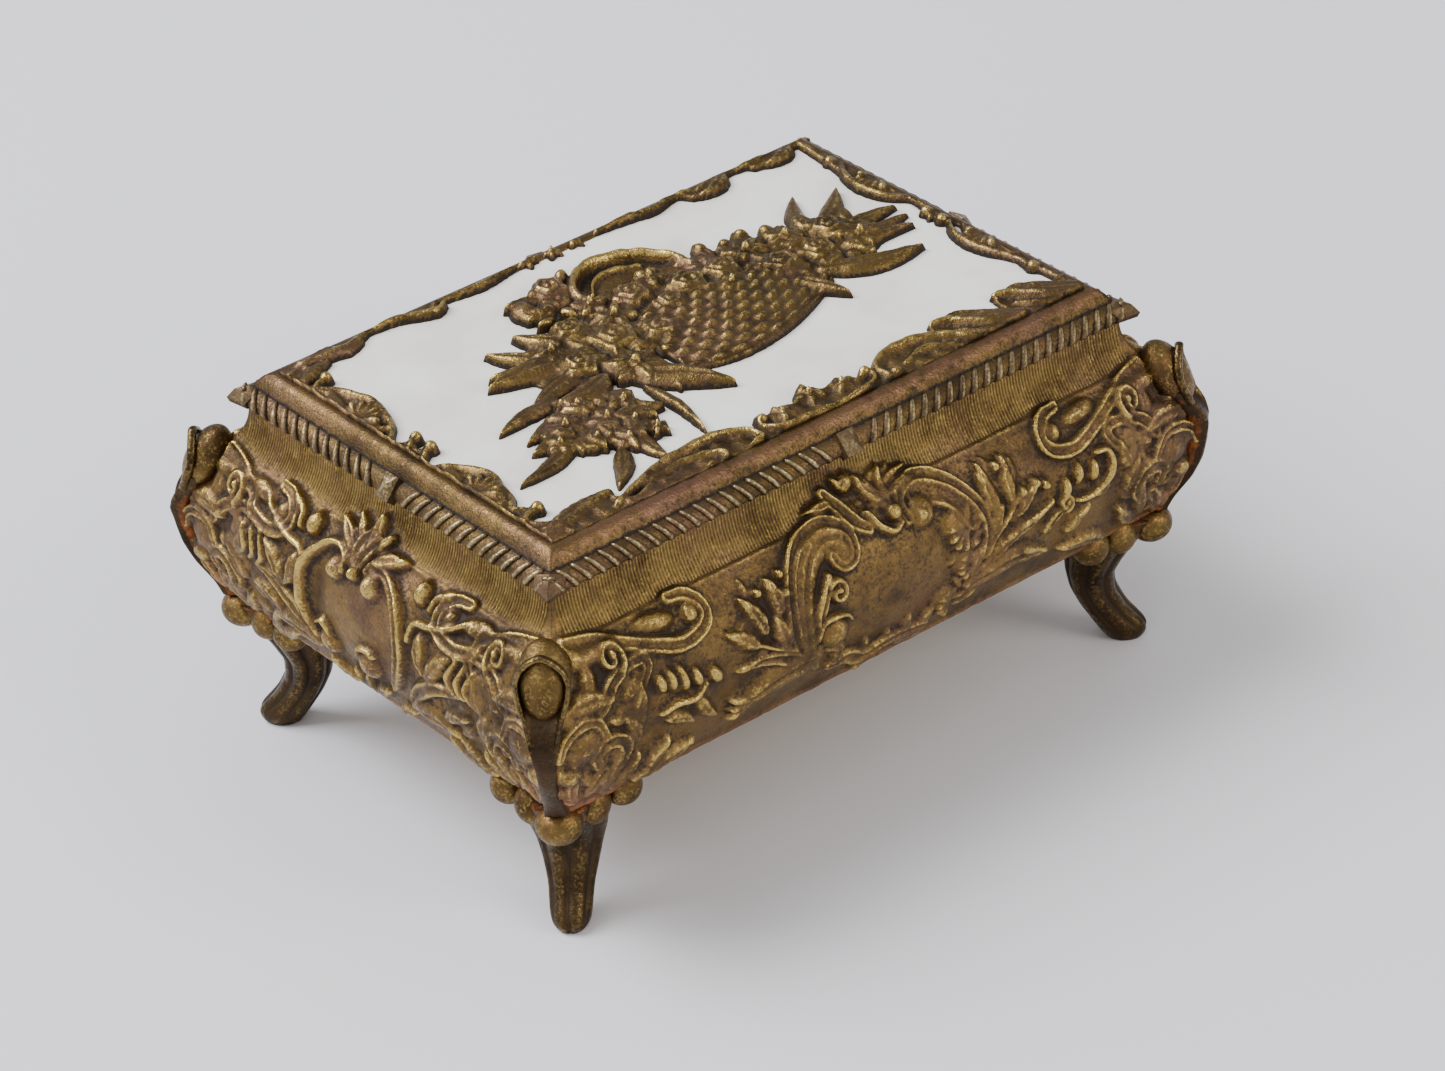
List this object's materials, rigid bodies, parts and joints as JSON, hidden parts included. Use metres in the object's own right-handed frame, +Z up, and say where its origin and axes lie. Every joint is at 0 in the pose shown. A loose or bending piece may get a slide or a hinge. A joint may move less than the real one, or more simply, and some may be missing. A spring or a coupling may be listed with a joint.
{
  "type": "vanity trinket box",
  "caption": "Footed casket with bulging cast metal sides, velvet-lined inside, and a hinged enamelled lid carrying a raised basket of flowers.",
  "frame": {"origin": "under the middle of the box, on the surface its feet stand on", "axes": "+Z up, +X along the long side to the right seen from the front, -Y the front, +Y the hinge side"},
  "size_m": [0.114, 0.082, 0.0574],
  "materials": {
    "gilt": "antique gilt zinc casting with dark patina in the hollows",
    "gilt_leg": "antique gilt zinc casting, browner patina on the feet",
    "gilt_lid": "antique gilt zinc casting, worn to copper on the moulding",
    "enamel": "satin off-white cold enamel",
    "velvet": "short-pile velvet",
    "card": "grey board",
    "base_sheet": "plain gilt sheet",
    "steel": "bright steel"
  },
  "bodies": {
    "box": {"front_panel": "gilt", "back_panel": "gilt", "left_panel": "gilt", "right_panel": "gilt", "leg_front_left": "gilt_leg", "leg_front_right": "gilt_leg", "leg_back_left": "gilt_leg", "leg_back_right": "gilt_leg", "base_plate": "base_sheet", "base_screws": "steel", "floor_card": "card", "floor_velvet": "velvet", "lining_front": "velvet", "lining_back": "velvet", "lining_left": "velvet", "lining_right": "velvet", "hinge_pin_left": "steel", "hinge_pin_right": "steel"},
    "lid": {"lid_casting": "gilt_lid", "lid_enamel": "enamel", "lid_card": "card", "lid_velvet": "velvet"}
  },
  "joints": [
    {"name": "lid_hinge", "type": "hinge", "parent": "box", "child": "lid", "pos_m": [0, 0.0354, 0.0492], "axis": [-1, 0, 0], "range_deg": [0, 100]}
  ]
}
